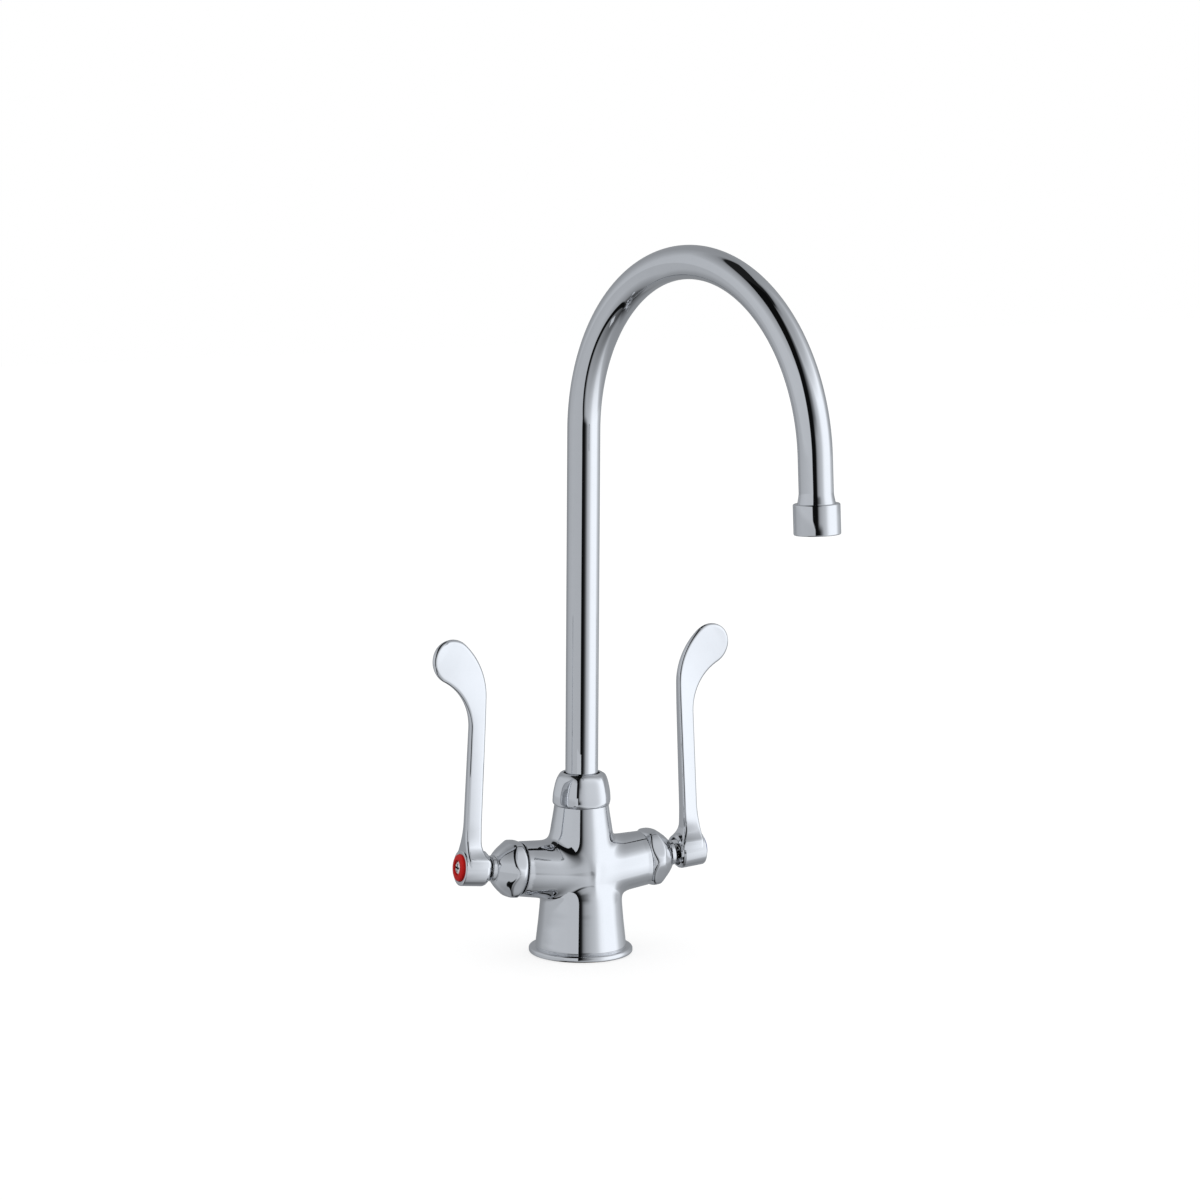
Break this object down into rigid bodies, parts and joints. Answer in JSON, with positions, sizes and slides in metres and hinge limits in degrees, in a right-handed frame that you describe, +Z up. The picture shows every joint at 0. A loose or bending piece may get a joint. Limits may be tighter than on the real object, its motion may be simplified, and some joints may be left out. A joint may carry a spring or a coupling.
{
  "type": "gooseneck faucet",
  "caption": "Deck-mounted mixer faucet with a swivelling high gooseneck spout and wrist-blade handles on quarter-turn ceramic valves.",
  "frame": {"origin": "centre of the base flange's underside, on the sink deck, on the vertical axis of the body", "axes": "+Z up along the riser, -X towards the hot valve, +X towards the cold valve, -Y towards the user; at rest the spout is swung 13.2 degrees from -Y towards +X"},
  "size_m": [0.1832, 0.2424, 0.455],
  "materials": {
    "body_chrome": "polished chrome plate on brass",
    "spout_nut_chrome": "polished chrome plate on brass",
    "tube_chrome": "polished chrome plate on brass",
    "outlet_chrome": "polished chrome plate on brass",
    "bonnet_chrome": "polished chrome plate on brass",
    "handle_chrome": "polished chrome plate on brass",
    "gasket_rubber": "black rubber",
    "deck_washer_rubber": "black rubber",
    "seal_rubber": "black rubber",
    "shank_brass": "machined brass, threaded",
    "lock_nut_brass": "machined brass",
    "ferrule_brass": "turned brass",
    "adapter_brass": "turned brass",
    "cartridge_brass": "turned brass",
    "stem_brass": "turned and nickel-plated brass",
    "washer_steel": "plain steel",
    "clip_steel": "spring steel",
    "screw_steel": "bright stainless steel",
    "glide_plastic": "white low-friction plastic",
    "insert_plastic": "light grey plastic",
    "disc_ceramic": "lapped white ceramic",
    "index_red": "glossy red plastic",
    "index_blue": "glossy blue plastic"
  },
  "bodies": {
    "body": {"body_casting": "body_chrome", "base_gasket": "gasket_rubber", "mounting_shank": "shank_brass", "deck_washer": "deck_washer_rubber", "backing_washer": "washer_steel", "lock_nut": "lock_nut_brass", "spout_nut": "spout_nut_chrome", "lower_glide_ring": "glide_plastic", "upper_glide_ring": "glide_plastic", "hot_seat": "seal_rubber", "hot_fixed_disc": "disc_ceramic", "hot_cartridge": "cartridge_brass", "hot_cartridge_ring": "seal_rubber", "hot_bonnet": "bonnet_chrome", "cold_seat": "seal_rubber", "cold_fixed_disc": "disc_ceramic", "cold_cartridge": "cartridge_brass", "cold_cartridge_ring": "seal_rubber", "cold_bonnet": "bonnet_chrome"},
    "spout": {"spout_tube": "tube_chrome", "spout_ferrule": "ferrule_brass", "spout_o_rings": "seal_rubber", "outlet_adapter": "adapter_brass", "outlet_shell": "outlet_chrome", "outlet_gasket": "seal_rubber", "flow_insert": "insert_plastic"},
    "hot_handle_set": {"hot_moving_disc": "disc_ceramic", "hot_stem": "stem_brass", "hot_stem_ring": "seal_rubber", "hot_clip": "clip_steel", "hot_handle": "handle_chrome", "hot_screw": "screw_steel", "hot_index_ring": "index_red"},
    "cold_handle_set": {"cold_moving_disc": "disc_ceramic", "cold_stem": "stem_brass", "cold_stem_ring": "seal_rubber", "cold_clip": "clip_steel", "cold_handle": "handle_chrome", "cold_screw": "screw_steel", "cold_index_ring": "index_blue"}
  },
  "joints": [
    {"name": "spout_swivel", "type": "hinge", "parent": "body", "child": "spout", "pos_m": [0, 0, 0.08], "axis": [0, 0, 1], "continuous": true},
    {"name": "hot_valve", "type": "hinge", "parent": "body", "child": "hot_handle_set", "pos_m": [0, 0, 0.0476], "axis": [0.9952, 0, -0.0976], "range_deg": [0, 90]},
    {"name": "cold_valve", "type": "hinge", "parent": "body", "child": "cold_handle_set", "pos_m": [0, 0, 0.0476], "axis": [0.9952, 0, 0.0976], "range_deg": [0, 90]}
  ]
}
